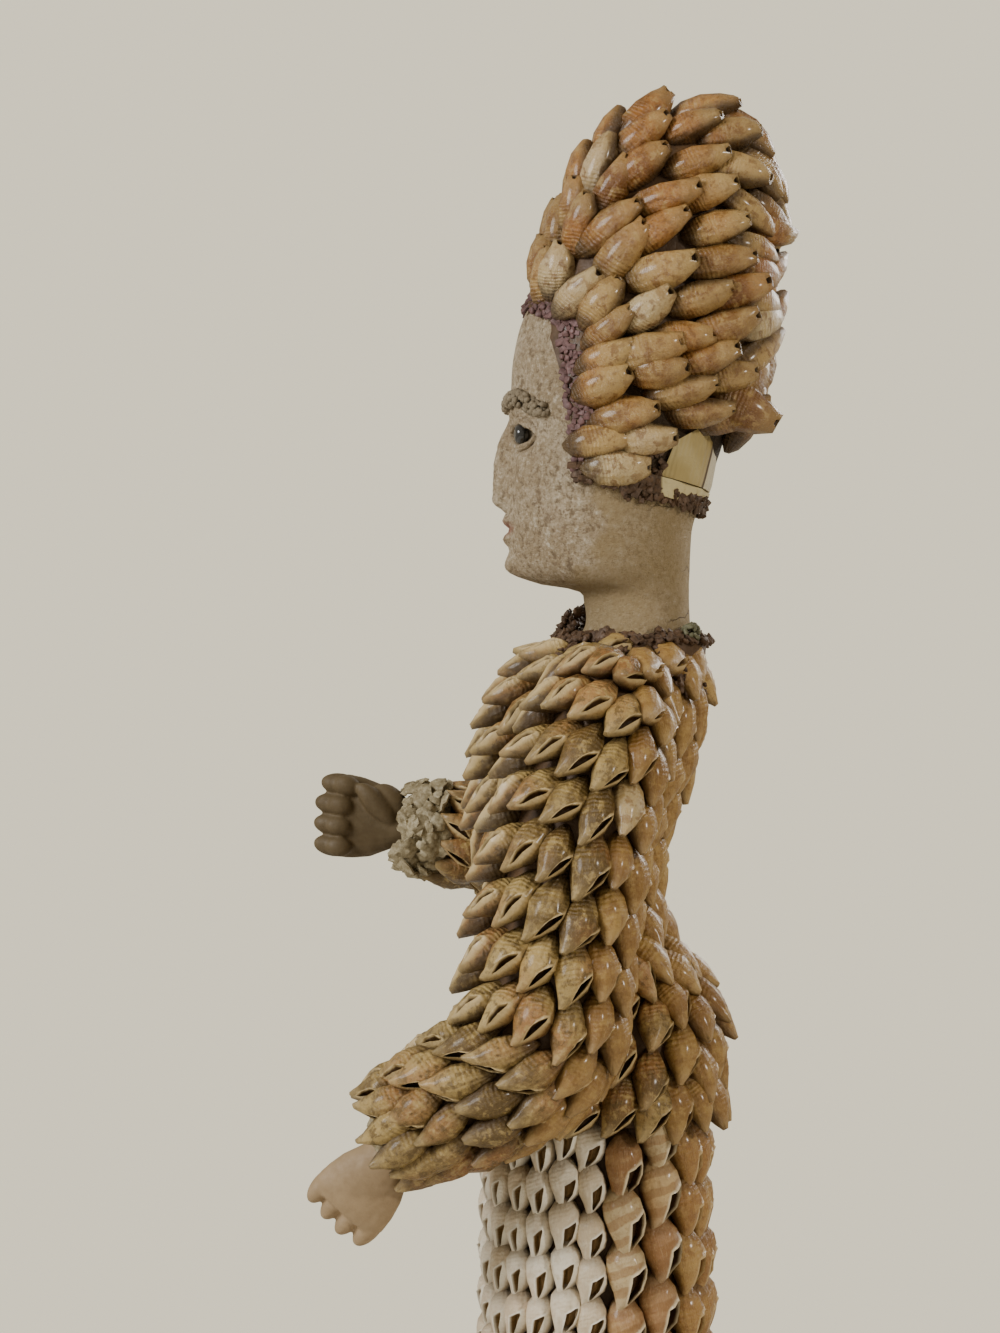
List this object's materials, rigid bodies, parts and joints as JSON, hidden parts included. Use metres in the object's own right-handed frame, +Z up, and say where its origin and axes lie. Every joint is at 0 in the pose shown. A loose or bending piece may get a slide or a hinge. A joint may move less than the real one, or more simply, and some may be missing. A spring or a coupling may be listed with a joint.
{
  "type": "shell mosaic female figure",
  "caption": "Standing female figure clad in rows of sea shells, with plaster head and hands, tall shell hair, one arm raised, on a low turned wooden base.",
  "frame": {"origin": "centre of the base's underside, under the skirt's axis", "axes": "+Z up along the figure, -Y the way its face looks, +X its left hand's side"},
  "size_m": [0.1847, 0.157, 0.608],
  "materials": {
    "white_shell": "chalky white whelk shells over dark glue",
    "tan_shell": "varnished tan and khaki whelk shells",
    "russet_shell": "glossy varnished brown and orange dove shells",
    "cream_valve": "smooth cream-yellow shell",
    "painted_plaster": "granular painted plaster, crazed, grey-beige",
    "hand_plaster": "smooth pinkish-beige plaster with a fine crack",
    "purple_crumbs": "crushed mauve and purple shell",
    "brown_crumbs": "crushed dark red-brown shell",
    "pale_crumbs": "off-white and grey-green shell flakes",
    "grey_grit": "olive-brown grit",
    "black_bead": "opaque glossy black",
    "turned_wood": "dark stained, waxed and worn"
  },
  "bodies": {
    "root": {"base": "turned_wood", "skirt": "white_shell", "bodice": "tan_shell", "left_sleeve": "tan_shell", "right_sleeve": "tan_shell", "left_cuff": "pale_crumbs", "right_cuff": "pale_crumbs", "left_hand": "hand_plaster", "right_hand": "hand_plaster", "collar_crumbs": "brown_crumbs", "head": "painted_plaster", "left_eye": "black_bead", "right_eye": "black_bead", "left_eyebrow": "grey_grit", "right_eyebrow": "grey_grit", "hairline_band": "purple_crumbs", "headdress": "russet_shell", "left_nape_valve": "cream_valve", "right_nape_valve": "cream_valve"}
  },
  "joints": []
}
